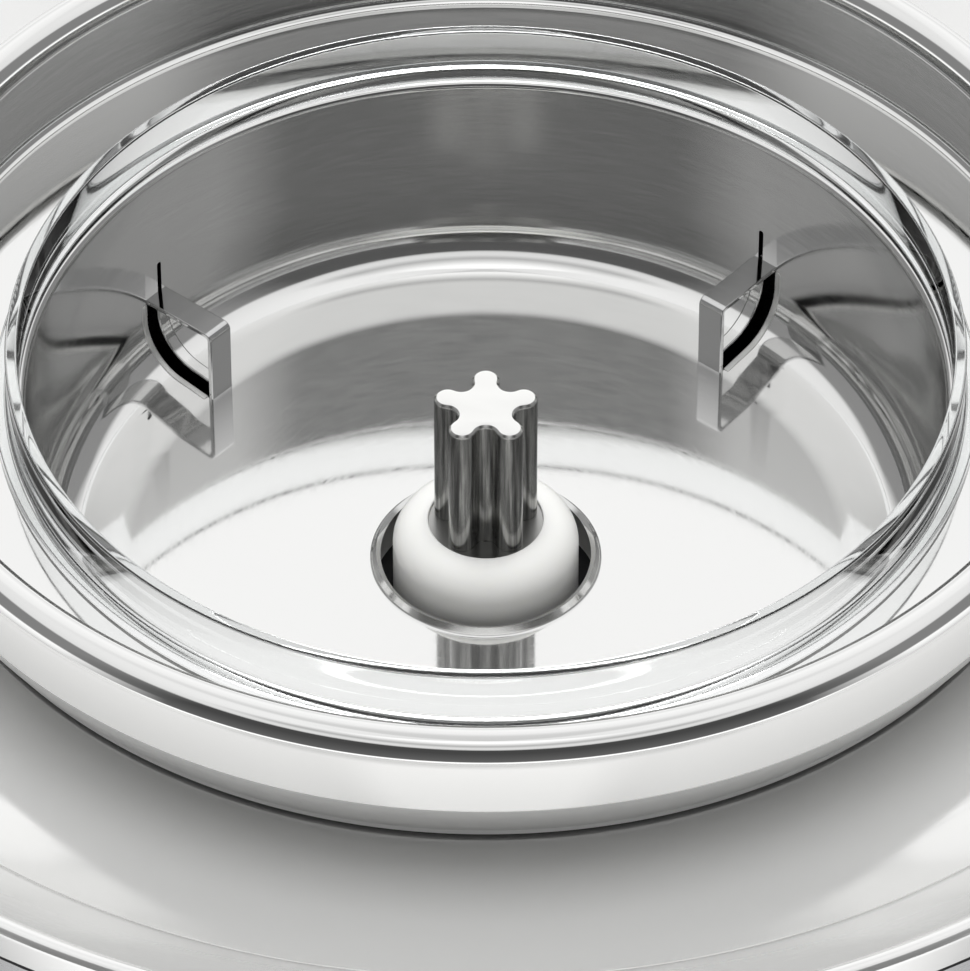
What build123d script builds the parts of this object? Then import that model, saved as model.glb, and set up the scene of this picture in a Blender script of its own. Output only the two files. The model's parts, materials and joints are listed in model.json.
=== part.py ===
"""Round counter-top ice cream maker base: polished bowl seat, star drive spindle, geared motor and drum."""

import os
from math import acos, asin, atan2, cos, degrees, hypot, pi, radians, sin, tan

from build123d import *

# Lengths are millimetres. The front is -Y, +Z is up and z = 0 is the table.

# Drum, base plate and feet
drum_sheet = 1.2
base_thickness = 4.0
base_rim_height = 12.0
base_rim_wall = 2.5
foot_height = 12.0
foot_radius = 17.0
foot_top_radius = 14.5
foot_circle_radius = 132.0
foot_count = 4
foot_start_angle = 45.0
foot_recess_radius = 6.0
foot_recess_depth = 6.0
foot_boss_radius = 6.0
foot_boss_height = 10.0
base_vent_length = 46.0
base_vent_width = 4.0
base_vent_pitch = 9.0
base_vent_rows = 5
drum_vent_height = 34.0
drum_vent_width = 4.0
drum_vent_count = 9
drum_vent_step = 6.0
drum_vent_middle = 112.0

# Dished top deck, its skirt and the seal under the skirt
deck_height = 150.0
deck_sheet = 1.2
deck_hole_gap = 2.6
deck_flat_margin = 0.8
deck_dish_radius = 168.0
deck_dish_bend = 128.0
deck_edge_bend = 2.0
deck_skirt = 7.0
skirt_overhang = 1.95
groove_radius = 154.0
groove_width = 1.9
groove_depth = 0.4
deck_gasket_thickness = 1.2
deck_gasket_width = 3.6

# Collar standing on the deck: a rolled bead, a wall that draws in, a belly and a flange under it
collar_sheet = 1.0
collar_height = 32.05
collar_foot_inset = 1.8
collar_flange_width = 8.2
bead_radius = 4.45
bead_offset = 3.1
bead_wrap = 188.0
belly_reach = 5.4
belly_height = 14.2
belly_lean = 20.0
collar_gasket_thickness = 0.8
collar_gasket_inset = 0.6
stud_inset = 4.2
stud_radius = 2.0
stud_length = 9.0
stud_count = 6
stud_start_angle = 15.0
stud_nut_radius = 4.0
stud_nut_height = 3.2

# Bowl seat: brim wall, shelf, well, coned floor and its hole
bowl_sheet = 1.0
shelf_width = 26.1
brim_bend = 2.5
brim_tuck = 1.1
shelf_height = 8.0
shelf_bend = 1.4
well_radius = 88.4
well_depth = 46.0
floor_bend = 10.0
floor_skirt_width = 17.4
floor_skirt_rise = 1.2
floor_skirt_bend = 40.0
floor_hole_radius = 21.5
floor_lip_width = 0.9
floor_lip_height = 1.6
floor_lip_bend = 0.8
spacer_inner_gap = 4.6
spacer_outer_gap = 1.0

# Bridge tabs lanced out of the well
tab_angles = (138.3, 50.6)
tab_width = 5.8
tab_length = 17.8
tab_root_depth = 29.8
tab_rise = 0.8
tab_bend = 1.6
tab_sheet = 1.0
relief_width = 1.1
relief_length = 7.5
relief_offset = 1.2

# Clear ring standing on the shelf
ring_set_back = 1.1
ring_wall = 2.4
ring_height = 12.4
ring_foot_width = 2.6
ring_foot_height = 1.6
ring_edge_bend = 0.5

# Star spindle
star_lobes = 5
star_tip_radius = 10.4
star_valley_radius = 5.9
star_lobe_radius = 2.7
star_height = 30.6
star_chamfer = 1.3
shaft_radius = 6.0
shaft_tail = 5.0
circlip_thickness = 1.2
circlip_width = 2.8
circlip_groove_depth = 1.0
circlip_opening = 6.0
drive_pin_radius = 1.5

# White boss round the spindle, with its washer, seal and bush
boss_radius = 18.2
boss_height = 22.5
boss_shoulder = 7.0
boss_recess_radius = 11.2
boss_recess_depth = 1.4
boss_neck_radius = 7.0
washer_thickness = 0.8
bush_wall = 2.6
upper_bush_length = 15.0
seal_length = 4.0
lower_bush_length = 8.0
boss_screw_radius = 1.5
boss_screw_head = 2.5
boss_screw_start_angle = 45.0
boss_screw_circle = 13.6
boss_screw_length = 10.0
boss_screw_count = 4
drip_seal_width = 4.0
drip_seal_height = 3.0

# Gearbox cup, cover and gear train
boss_seat_drop = 12.0
gearbox_radius = 48.0
gearbox_wall = 3.0
gearbox_floor = 4.0
gearbox_cover = 4.0
gearbox_depth = 30.0
ear_reach = 66.0
ear_angle = 45.0
ear_radius = 9.0
ear_thickness = 5.0
isolator_thickness = 5.0
isolator_radius = 8.0
post_radius = 7.0
cover_screw_inset = 5.6
cover_screw_angle = 60.0
cover_screw_end_gap = 1.0
cover_screw_boss = 3.9
slow_module = 1.5
slow_teeth = 48
slow_pinion_teeth = 12
slow_face = 8.0
fast_module = 1.0
fast_teeth = 60
fast_pinion_teeth = 12
fast_face = 6.0
gear_gap = 2.0
gear_hub_radius = 11.0
gear_hub_height = 5.0
gear_axle_radius = 4.0
tooth_backlash = 0.3
tooth_addendum = 0.8
tooth_dedendum = 1.15
pressure_angle = 20.0

# Motor hung under the gearbox
motor_angle = 90.0
motor_radius = 36.0
stator_bore_radius = 22.5
bell_length = 8.0
bell_plate = 2.0
bell_wall = 1.5
winding_inner_radius = 24.0
winding_outer_radius = 29.0
winding_length = 5.0
air_gap = 0.5
rotor_end_gap = 0.5
motor_shaft_radius = 3.0
motor_bush_radius = 6.0
motor_bolt_radius = 1.5
motor_bolt_head = 2.5
motor_bolt_start_angle = 45.0
motor_bolt_circle = 32.5
motor_bolt_count = 4
fan_radius = 28.0
fan_hub_radius = 8.0
fan_height = 8.0
fan_gap = 2.0
fan_floor_gap = 4.0
fan_blades = 7
fan_blade_thickness = 1.6

# Control panel at the front and mains inlet at the back
pod_proud = 5.0
pod_corner = 8.0
pod_edge_bend = 1.6
pod_wall = 2.5
panel_width = 112.0
panel_height = 52.0
panel_middle = 88.0
window_margin = 4.0
knob_radius = 21.0
knob_grip_radius = 17.0
knob_height = 18.0
knob_skirt = 4.0
knob_flutes = 18
knob_flute_radius = 1.6
knob_bend = 1.5
pointer_width = 1.6
pointer_depth = 0.8
timer_shaft_radius = 3.0
timer_width = 44.0
timer_height = 34.0
timer_depth = 28.0
timer_shaft_depth = 20.0
switch_offset = 37.0
switch_width = 14.0
switch_height = 21.0
switch_depth = 20.0
switch_wall = 1.5
rocker_reach = 9.0
rocker_half_height = 7.0
rocker_dip = 1.2
rocker_pivot_depth = 7.0
rocker_pivot_radius = 1.2
rocker_hub_radius = 2.4
rocker_tilt = 8.0
lamp_radius = 4.0
lamp_depth = 14.0
lamp_rim = 1.2
lamp_rim_bend = 0.6
inlet_width = 60.0
inlet_height = 36.0
inlet_middle = 50.0
socket_width = 24.5
socket_height = 17.0
socket_depth = 16.0
socket_wall = 2.5
socket_corner = 4.0
socket_lip_drop = 0.8
pin_width = 4.0
pin_thickness = 2.0
pin_length = 12.0
pin_pitch = 7.0
pin_step = 4.0
pin_tail = 2.5

# Inner electrical pieces on the base plate
capacitor_radius = 15.0
capacitor_height = 46.0
capacitor_place = (-72.0, -84.0)
terminal_size = (38.0, 18.0, 17.0)
terminal_place = (30.0, -104.0)
terminal_ways = 4
terminal_slot_width = 1.2
terminal_slot_depth = 4.2
loom_radius = 3.2
loom_bend = 9.0
loom_run = 36.0
loom_side = 93.0
loom_back = 58.0
loom_front = -50.0
loom_turn = 38.0

# Fasteners that several pieces share
tie_radius = 2.5
tie_gap = 10.6
tie_gearbox_gap = 6.5
tie_count = 4
tie_nut_radius = 5.5
tie_nut_height = 6.0
screw_radius = 2.0
screw_head_radius = 4.0
screw_head_height = 2.6
screw_grip = 12.0

# Clearances
slip_gap = 0.3
seat_gap = 0.03
running_gap = 0.05

# Radii that follow from the well, from the inside out
well_outer_radius = well_radius + bowl_sheet
tab_end_radius = well_radius - tab_length
ring_bore_radius = well_radius + ring_set_back
brim_radius = well_radius + shelf_width
bead_centre_radius = brim_radius + bead_offset
belly_radius = brim_radius + belly_reach
collar_foot_radius = brim_radius - collar_foot_inset
collar_flange_radius = collar_foot_radius - collar_flange_width
stud_circle_radius = collar_foot_radius - stud_inset
deck_hole_radius = well_outer_radius + deck_hole_gap
deck_flat_radius = collar_foot_radius + deck_flat_margin
dish_turn = degrees(asin((deck_dish_radius - deck_flat_radius) / deck_dish_bend))
deck_edge_radius = deck_dish_radius + deck_edge_bend * (1 + sin(radians(dish_turn)))
drum_radius = deck_edge_radius - skirt_overhang

# Heights that follow from the stack
base_top = foot_height + base_thickness
dish_end = deck_height + deck_dish_bend * (1 - cos(radians(dish_turn)))
skirt_bottom = dish_end - deck_skirt
drum_top = skirt_bottom - deck_gasket_thickness
shelf_top = deck_height + shelf_height
floor_top = shelf_top - well_depth
cover_top = floor_top - boss_seat_drop
cover_bottom = cover_top - gearbox_cover
cup_bottom = cover_bottom - gearbox_depth
cup_floor = cup_bottom + gearbox_floor
boss_top = cover_top + boss_height
washer_bottom = boss_top - boss_recess_depth
washer_top = washer_bottom + washer_thickness
bush_radius = shaft_radius + bush_wall
flange_bottom = deck_height + collar_gasket_thickness
bead_middle = deck_height + collar_height - bead_radius
belly_top = deck_height + belly_height

# Gear centres: the spindle is at the origin, the compound gear to its left, the motor behind that gear.
# The tie rods stand clear of both the well and the gearbox.
slow_distance = slow_module * (slow_teeth + slow_pinion_teeth) / 2
fast_distance = fast_module * (fast_teeth + fast_pinion_teeth) / 2
tie_circle_radius = max(well_outer_radius + tie_gap, slow_distance + gearbox_radius + tie_gearbox_gap)
idler_x = -slow_distance
idler_y = 0.0
motor_x = idler_x + fast_distance * cos(radians(motor_angle))
motor_y = idler_y + fast_distance * sin(radians(motor_angle))
fast_low = cup_floor + gear_gap
fast_high = fast_low + fast_face
slow_low = fast_high + gear_gap
slow_high = slow_low + slow_face

# Motor heights, from the base up; the stator fills what is left under the gearbox
fan_low = base_top + fan_floor_gap
fan_high = fan_low + fan_height
motor_bottom = fan_high + fan_gap
stator_low = motor_bottom + bell_length
bell_low = cup_bottom - bell_length

UPWARD = (Align.CENTER, Align.CENTER, Align.MIN)


def rod(radius, low, high, x=0.0, y=0.0):
    return Pos(x, y, low) * Cylinder(radius, high - low, align=UPWARD)


def tube(outer, inner, low, high, x=0.0, y=0.0):
    return rod(outer, low, high, x, y) - rod(inner, low, high, x, y)


def polar(radius, angle):
    return radius * cos(radians(angle)), radius * sin(radians(angle))


def around(count, radius, start=0.0):
    return [polar(radius, start + 360.0 * i / count) for i in range(count)]


def group(shapes):
    return Compound([solid for shape in shapes for solid in shape.solids()])


def pressing(path, sheet, side):
    """Sheet metal turned about the spindle axis, from the radius and height path of one of its faces."""
    profile = make_face(offset(path, amount=sheet, side=side).edges())
    return revolve(Plane.XZ * profile, Axis.Z)


def screw(head_low, tip, x, y, radius=screw_radius, head_radius=screw_head_radius):
    """Pan-head screw from the height of the face under its head to its tip, either way up."""
    step = screw_head_height if head_low > tip else -screw_head_height
    head = rod(head_radius, min(head_low, head_low + step), max(head_low, head_low + step), x, y)
    return head + rod(radius, min(head_low, tip), max(head_low, tip), x, y)


# Bowl seat, collar and clear ring


def well_bowl():
    brim_top = bead_middle + brim_tuck
    path = FilletPolyline(
        (floor_hole_radius, floor_top + floor_lip_height),
        (floor_hole_radius + floor_lip_width, floor_top),
        (well_radius - floor_skirt_width, floor_top),
        (well_radius, floor_top + floor_skirt_rise),
        (well_radius, shelf_top),
        (brim_radius, shelf_top),
        (brim_radius, brim_top),
        radius=[floor_lip_bend, floor_skirt_bend, floor_bend, shelf_bend, brim_bend],
    )
    bowl = pressing(path, bowl_sheet, Side.RIGHT)
    for angle in tab_angles:
        relief_side = relief_offset if angle < 90 else -relief_offset
        bowl = bowl - Rot(0, 0, angle) * tab_opening(relief_side) + Rot(0, 0, angle) * tab_strip()
    return bowl


def tab_opening(relief_side):
    root = shelf_top - tab_root_depth
    low = floor_top - 2 * bowl_sheet
    reach = well_radius + 2 * bowl_sheet - tab_end_radius
    window = Pos(tab_end_radius, 0, low) * Box(
        reach, tab_width, root - low, align=(Align.MIN, Align.CENTER, Align.MIN)
    )
    slot_face = Pos(relief_side, root) * SlotOverall(2 * relief_length, relief_width, rotation=90)
    slot = extrude(Plane.YZ * slot_face, well_radius + 2 * bowl_sheet)
    return window + slot


def tab_strip():
    root = shelf_top - tab_root_depth
    path = FilletPolyline(
        (well_radius + bowl_sheet, root),
        (tab_end_radius, root + tab_rise),
        (tab_end_radius, floor_top - bowl_sheet),
        radius=tab_bend,
    )
    profile = make_face(offset(path, amount=tab_sheet, side=Side.LEFT).edges())
    return extrude(Plane.XZ * profile, tab_width / 2, both=True)


def clear_ring():
    outer = ring_bore_radius + ring_wall
    top = shelf_top + ring_height
    wall = tube(outer, ring_bore_radius, shelf_top, top)
    wall = fillet(wall.faces().sort_by(Axis.Z)[-1].edges(), ring_edge_bend)
    return wall + tube(outer + ring_foot_width, ring_bore_radius, shelf_top, shelf_top + ring_foot_height)


def stud_places():
    return around(stud_count, stud_circle_radius, stud_start_angle)


def collar():
    """The wall runs from the top of the belly to the point where it touches the bead."""
    flange_top = flange_bottom + collar_sheet
    across = belly_radius - bead_centre_radius
    down = belly_top - bead_middle
    touch = degrees(atan2(down, across) + acos(bead_radius / hypot(across, down)))
    bead = CenterArc((bead_centre_radius, bead_middle), bead_radius, bead_wrap, touch - bead_wrap)
    wall = Line(bead @ 1, (belly_radius, belly_top))
    lean = radians(belly_lean)
    belly = TangentArc(wall @ 1, (collar_foot_radius, flange_top), tangent=(-sin(lean), -cos(lean)))
    shell = pressing(Wire(bead.edges() + wall.edges() + belly.edges()), collar_sheet, Side.RIGHT)
    foot = tube(collar_foot_radius, collar_flange_radius, flange_bottom, flange_top + collar_sheet)
    foot = foot - rod(collar_foot_radius - collar_sheet, flange_top, bead_middle)
    body = shell + foot
    for x, y in stud_places():
        body = body + rod(stud_radius, flange_bottom - stud_length, flange_top, x, y)
    return body


def stud_holes(low, high):
    return [rod(stud_radius + seat_gap, low, high, x, y) for x, y in stud_places()]


def collar_gasket():
    ring = tube(collar_foot_radius - collar_gasket_inset, collar_flange_radius, deck_height, flange_bottom)
    return ring - stud_holes(deck_height, flange_bottom)


def hex_nut(radius, height, bore):
    return extrude(RegularPolygon(radius, 6), height) - rod(bore + seat_gap, 0, height)


def collar_nuts():
    low = deck_height - deck_sheet - stud_nut_height
    blank = hex_nut(stud_nut_radius, stud_nut_height, stud_radius)
    return group(Pos(x, y, low) * blank for x, y in stud_places())


def bowl_spacer():
    inner = well_outer_radius + spacer_inner_gap
    return tube(collar_flange_radius - spacer_outer_gap, inner, deck_height, shelf_top - bowl_sheet)


# Deck, drum and base


def top_deck():
    flat = Line((deck_hole_radius, deck_height), (deck_flat_radius, deck_height))
    dish = JernArc(flat @ 1, flat % 1, deck_dish_bend, dish_turn)
    edge = JernArc(dish @ 1, dish % 1, deck_edge_bend, -90 - dish_turn)
    skirt = Line(edge @ 1, (deck_edge_radius, skirt_bottom))
    path = Wire(flat.edges() + dish.edges() + edge.edges() + skirt.edges())
    deck = pressing(path, deck_sheet, Side.RIGHT)
    groove_turn = asin((groove_radius - deck_flat_radius) / deck_dish_bend)
    groove_top = deck_height + deck_dish_bend * (1 - cos(groove_turn))
    place = Plane.XZ * Pos(groove_radius, groove_top) * Rot(0, 0, degrees(groove_turn))
    cut = place * Rectangle(groove_width, 2 * groove_depth)
    return deck - revolve(cut, Axis.Z) - stud_holes(deck_height - deck_sheet, deck_height)


def deck_gasket():
    outer = deck_edge_radius - slip_gap
    return tube(outer, outer - deck_gasket_width, drum_top, skirt_bottom)


def tie_places():
    return around(tie_count, tie_circle_radius)


def tie_rods():
    return group(screw(foot_height, deck_height - deck_sheet, x, y, tie_radius) for x, y in tie_places())


def tie_nuts():
    low = deck_height - deck_sheet - tie_nut_height
    blank = hex_nut(tie_nut_radius, tie_nut_height, tie_radius)
    return group(Pos(x, y, low) * blank for x, y in tie_places())


def drum_housing():
    shell = tube(drum_radius, drum_radius - drum_sheet, base_top, drum_top)
    inset = pod_wall + window_margin
    front = pod_block(panel_width, panel_height, panel_middle, inset, pod_proud)
    back = pod_block(inlet_width, inlet_height, inlet_middle, inset, pod_proud)
    shell = shell - front - Rot(0, 0, 180) * back
    slot_face = Pos(0, drum_vent_middle) * SlotOverall(drum_vent_height, drum_vent_width, rotation=90)
    slot = extrude(Plane.YZ * slot_face, drum_radius + drum_sheet)
    middle = (drum_vent_count - 1) / 2
    for i in range(drum_vent_count):
        shell = shell - Rot(0, 0, 90 + (i - middle) * drum_vent_step) * slot
    return shell


def foot_places():
    return around(foot_count, foot_circle_radius, foot_start_angle)


def post_places():
    right = [polar(ear_reach, angle) for angle in (ear_angle, -ear_angle)]
    left = [polar(ear_reach, angle) for angle in (180 - ear_angle, ear_angle - 180)]
    return right + [(idler_x + x, y) for x, y in left]


def base_plate():
    rim_outer = drum_radius - drum_sheet - slip_gap
    plate = rod(drum_radius, foot_height, base_top)
    plate = plate + tube(rim_outer, rim_outer - base_rim_wall, base_top, base_top + base_rim_height)
    post_top = cup_bottom - isolator_thickness
    for x, y in post_places():
        plate = plate + rod(post_radius, base_top, post_top, x, y)
        plate = plate - rod(screw_radius + seat_gap, post_top - 2 * screw_grip, post_top, x, y)
    for x, y in foot_places():
        plate = plate + rod(foot_boss_radius, base_top, base_top + foot_boss_height, x, y)
        plate = plate - rod(screw_radius + seat_gap, foot_height, base_top + foot_boss_height, x, y)
    for x, y in tie_places():
        plate = plate - rod(tie_radius + seat_gap, foot_height, base_top, x, y)
    slot = extrude(SlotOverall(base_vent_length, base_vent_width), base_thickness)
    middle = (base_vent_rows - 1) / 2
    for i in range(base_vent_rows):
        plate = plate - Pos(motor_x, motor_y + (i - middle) * base_vent_pitch, foot_height) * slot
    return plate


def foot(x, y):
    profile = Polyline(
        (0, 0), (foot_radius, 0), (foot_top_radius, foot_height), (0, foot_height), close=True
    )
    body = revolve(Plane.XZ * make_face(profile), Axis.Z)
    body = body - rod(foot_recess_radius, 0, foot_recess_depth)
    return Pos(x, y) * (body - rod(screw_radius + seat_gap, 0, foot_height))


def foot_screws():
    tip = base_top + foot_boss_height
    return group(screw(foot_recess_depth, tip, x, y) for x, y in foot_places())


# Spindle with its boss, seal and bushes


def star_face():
    """Five rounded lobes joined by hollow arcs that are tangent to them."""
    lobe_reach = star_tip_radius - star_lobe_radius
    half_step = 180.0 / star_lobes
    shortfall = star_lobe_radius - star_valley_radius
    hollow_reach = (lobe_reach**2 - shortfall**2) / (2 * (shortfall + lobe_reach * cos(radians(half_step))))
    hollow_radius = hollow_reach - star_valley_radius
    share = star_lobe_radius / (star_lobe_radius + hollow_radius)
    edges = []
    for i in range(star_lobes):
        angle = 90 + 2 * half_step * i
        lobe = Vector(*polar(lobe_reach, angle))
        before = lobe + (Vector(*polar(hollow_reach, angle - half_step)) - lobe) * share
        after = lobe + (Vector(*polar(hollow_reach, angle + half_step)) - lobe) * share
        following = Vector(*polar(lobe_reach, angle + 2 * half_step))
        arrival = following + (Vector(*polar(hollow_reach, angle + half_step)) - following) * share
        edges.append(ThreePointArc(before, polar(star_tip_radius, angle), after))
        edges.append(ThreePointArc(after, polar(star_valley_radius, angle + half_step), arrival))
    return make_face(Wire([edge.edge() for edge in edges]))


def spindle_low():
    return cup_bottom - shaft_tail


def spindle():
    star_low = washer_top + running_gap
    star = Pos(0, 0, star_low) * extrude(star_face(), star_height)
    star = chamfer(star.faces().sort_by(Axis.Z)[-1].edges(), star_chamfer)
    shaft = star + rod(shaft_radius, spindle_low(), star_low)
    groove_high = cup_bottom - running_gap
    groove = tube(
        2 * shaft_radius, shaft_radius - circlip_groove_depth, groove_high - circlip_thickness, groove_high
    )
    return shaft - groove - drive_pin_hole()


def drive_pin_height():
    return slow_low - gear_hub_height / 2


def drive_pin_hole():
    hole = Cylinder(drive_pin_radius + seat_gap, 2 * gear_hub_radius)
    return Pos(0, 0, drive_pin_height()) * Rot(0, 90, 0) * hole


def drive_pin():
    return Pos(0, 0, drive_pin_height()) * Rot(0, 90, 0) * Cylinder(drive_pin_radius, 2 * gear_hub_radius)


def spindle_circlip():
    high = cup_bottom - running_gap
    inner = shaft_radius - circlip_groove_depth + seat_gap
    outer = inner + circlip_width
    clip = tube(outer, inner, high - circlip_thickness, high)
    opening = Box(outer, circlip_opening, 2 * circlip_thickness, align=(Align.MIN, Align.CENTER, Align.MAX))
    return clip - Pos(0, 0, high) * opening


def spindle_boss():
    body = rod(boss_radius, cover_top, boss_top)
    body = fillet(body.faces().sort_by(Axis.Z)[-1].edges(), boss_shoulder - seat_gap)
    body = body - rod(boss_recess_radius, washer_bottom, boss_top)
    body = body - rod(boss_neck_radius, cover_top, boss_top)
    body = body - rod(bush_radius + seat_gap, cover_top, cover_top + upper_bush_length + seal_length)
    for x, y in boss_screw_places():
        body = body - rod(boss_screw_radius + seat_gap, cover_top, cover_top + boss_screw_length, x, y)
    return body


def boss_screw_places():
    return around(boss_screw_count, boss_screw_circle, boss_screw_start_angle)


def boss_screws():
    tip = cover_top + boss_screw_length
    places = boss_screw_places()
    return group(screw(cover_bottom, tip, x, y, boss_screw_radius, boss_screw_head) for x, y in places)


def wear_washer():
    return tube(boss_recess_radius - seat_gap, shaft_radius + running_gap, washer_bottom, washer_top)


def shaft_seal():
    low = cover_top + upper_bush_length
    return tube(bush_radius, shaft_radius + running_gap, low, low + seal_length)


def upper_bush():
    return tube(bush_radius, shaft_radius + running_gap, cover_top, cover_top + upper_bush_length)


def lower_bush():
    return tube(bush_radius, shaft_radius + running_gap, cup_bottom, cup_bottom + lower_bush_length)


def drip_seal():
    inner = boss_radius + seat_gap
    return tube(inner + drip_seal_width, inner, cover_top, cover_top + drip_seal_height)


# Gearbox


def gearbox_outline(inset):
    outline = SlotCenterToCenter(slow_distance, 2 * (gearbox_radius - inset))
    return Pos(idler_x / 2, 0) * outline


def cover_screw_places():
    reach = gearbox_radius - cover_screw_inset
    right = [polar(reach, angle) for angle in (cover_screw_angle, -cover_screw_angle)]
    left = [polar(reach, angle) for angle in (180 - cover_screw_angle, cover_screw_angle - 180)]
    middle = [(idler_x / 2, reach), (idler_x / 2, -reach)]
    return right + [(idler_x + x, y) for x, y in left] + middle


def gearbox_cup():
    cup = Pos(0, 0, cup_bottom) * extrude(gearbox_outline(0), gearbox_depth)
    for x, y in post_places():
        end = 0.0 if x > idler_x / 2 else idler_x
        turn = degrees(atan2(y, x - end))
        reach = hypot(x - end, y)
        ear = Pos(reach / 2, 0) * SlotCenterToCenter(reach, 2 * ear_radius)
        cup = cup + Pos(end, 0, cup_bottom) * Rot(0, 0, turn) * extrude(ear, ear_thickness)
    cup = cup - Pos(0, 0, cup_floor) * extrude(gearbox_outline(gearbox_wall), gearbox_depth)
    for x, y in cover_screw_places():
        cup = cup + rod(cover_screw_boss, cup_floor, cover_bottom, x, y)
        cup = cup - rod(screw_radius + seat_gap, cover_bottom - screw_grip, cover_bottom, x, y)
    cup = cup + rod(bush_radius + gearbox_wall, cup_bottom, cup_bottom + lower_bush_length)
    cup = cup - rod(bush_radius + seat_gap, cup_bottom, cup_bottom + lower_bush_length)
    cup = cup - rod(gear_axle_radius + seat_gap, cup_bottom, cup_floor, idler_x, idler_y)
    cup = cup - rod(motor_bush_radius + slip_gap, cup_bottom, cup_floor, motor_x, motor_y)
    for x, y in motor_bolt_places():
        cup = cup - rod(motor_bolt_radius + seat_gap, cup_bottom, cup_floor, x, y)
    for x, y in post_places():
        cup = cup - rod(screw_radius + seat_gap, cup_bottom, cup_bottom + ear_thickness, x, y)
    return cup


def gearbox_cover_plate():
    plate = Pos(0, 0, cover_bottom) * extrude(gearbox_outline(0), gearbox_cover)
    plate = plate - rod(shaft_radius + slip_gap, cover_bottom, cover_top)
    plate = plate - rod(gear_axle_radius + seat_gap, cover_bottom, cover_top, idler_x, idler_y)
    for x, y in cover_screw_places():
        plate = plate - rod(screw_radius + seat_gap, cover_bottom, cover_top, x, y)
    for x, y in boss_screw_places():
        plate = plate - rod(boss_screw_radius + seat_gap, cover_bottom, cover_top, x, y)
    return plate


def cover_screws():
    tip = cover_bottom - screw_grip + cover_screw_end_gap
    return group(screw(cover_top, tip, x, y) for x, y in cover_screw_places())


def isolators():
    low = cup_bottom - isolator_thickness
    bore = screw_radius + seat_gap
    return group(tube(isolator_radius, bore, low, cup_bottom, x, y) for x, y in post_places())


def gearbox_screws():
    head_low = cup_bottom + ear_thickness
    tip = cup_bottom - isolator_thickness - screw_grip
    return group(screw(head_low, tip, x, y) for x, y in post_places())


def tooth_half_angle(radius, teeth, module):
    """Half the angle that an involute tooth fills at a radius, less its share of the backlash."""
    pitch = module * teeth / 2
    flat = radians(pressure_angle)
    base = pitch * cos(flat)
    local = acos(min(1.0, base / radius))
    involute = (tan(flat) - flat) - (tan(local) - local)
    return pi / (2 * teeth) + involute - tooth_backlash * module / (4 * pitch)


def gear_blank(teeth, module, height, phase):
    """Spur gear standing on z = 0 with a tooth pointing along the phase angle, in degrees."""
    pitch = module * teeth / 2
    radii = [pitch - tooth_dedendum * module, pitch, pitch + tooth_addendum * module]
    points = []
    for i in range(teeth):
        middle = radians(phase) + 2 * pi * i / teeth
        for radius in radii:
            points.append((radius, middle - tooth_half_angle(radius, teeth, module)))
        for radius in reversed(radii):
            points.append((radius, middle + tooth_half_angle(radius, teeth, module)))
    outline = Polyline(*[(r * cos(a), r * sin(a)) for r, a in points], close=True)
    return extrude(make_face(outline), height)


def output_gear():
    blank = Pos(0, 0, slow_low) * gear_blank(slow_teeth, slow_module, slow_face, 180.0)
    hub = rod(gear_hub_radius, slow_low - gear_hub_height, slow_low)
    gear = blank + hub - rod(shaft_radius + seat_gap, slow_low - gear_hub_height, slow_high)
    return gear - drive_pin_hole()


def compound_gear():
    pinion_phase = 180.0 / slow_pinion_teeth
    wheel = Pos(0, 0, fast_low) * gear_blank(fast_teeth, fast_module, fast_face, motor_angle)
    pinion = Pos(0, 0, fast_high) * gear_blank(
        slow_pinion_teeth, slow_module, slow_high - fast_high, pinion_phase
    )
    gear = wheel + pinion - rod(gear_axle_radius + running_gap, fast_low, slow_high)
    return Pos(idler_x, idler_y, 0) * gear


def gear_axle():
    return rod(gear_axle_radius, cup_bottom, cover_top, idler_x, idler_y)


# Motor


def motor_bolt_places():
    ring = around(motor_bolt_count, motor_bolt_circle, motor_bolt_start_angle)
    return [(motor_x + x, motor_y + y) for x, y in ring]


def motor_bolt_holes(low, high):
    return [rod(motor_bolt_radius + seat_gap, low, high, x, y) for x, y in motor_bolt_places()]


def motor_stator():
    ring = tube(motor_radius, stator_bore_radius, stator_low, bell_low, motor_x, motor_y)
    return ring - motor_bolt_holes(stator_low, bell_low)


def motor_windings():
    coil = tube(winding_outer_radius, winding_inner_radius, 0, winding_length, motor_x, motor_y)
    return group([Pos(0, 0, bell_low) * coil, Pos(0, 0, stator_low - winding_length) * coil])


def bell(low, plate_low):
    """End bell between two heights, with its plate starting at plate_low."""
    cup = rod(motor_radius, low, low + bell_length, motor_x, motor_y)
    hollow = rod(motor_radius - bell_wall, low, low + bell_length, motor_x, motor_y)
    plate = rod(motor_radius, plate_low, plate_low + bell_plate, motor_x, motor_y)
    body = cup - hollow + plate
    for x, y in motor_bolt_places():
        body = body + rod(motor_bolt_radius + bell_wall, low, low + bell_length, x, y)
    body = body - rod(motor_bush_radius + seat_gap, low, low + bell_length, motor_x, motor_y)
    body = body & rod(motor_radius, low, low + bell_length, motor_x, motor_y)
    return body - motor_bolt_holes(low, low + bell_length)


def motor_top_bell():
    return bell(bell_low, cup_bottom - bell_plate)


def motor_bottom_bell():
    return bell(motor_bottom, motor_bottom)


def motor_bush(low, high):
    return tube(motor_bush_radius, motor_shaft_radius + running_gap, low, high, motor_x, motor_y)


def rotor():
    core_radius = stator_bore_radius - air_gap
    core = rod(core_radius, stator_low + rotor_end_gap, bell_low - rotor_end_gap, motor_x, motor_y)
    return core + rod(motor_shaft_radius, fan_low, fast_high + gear_gap / 2, motor_x, motor_y)


def motor_pinion():
    phase = motor_angle + 180.0 + 180.0 / fast_pinion_teeth
    blank = gear_blank(fast_pinion_teeth, fast_module, fast_face, phase)
    bore = rod(motor_shaft_radius + seat_gap, 0, fast_face)
    return Pos(motor_x, motor_y, fast_low) * (blank - bore)


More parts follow.
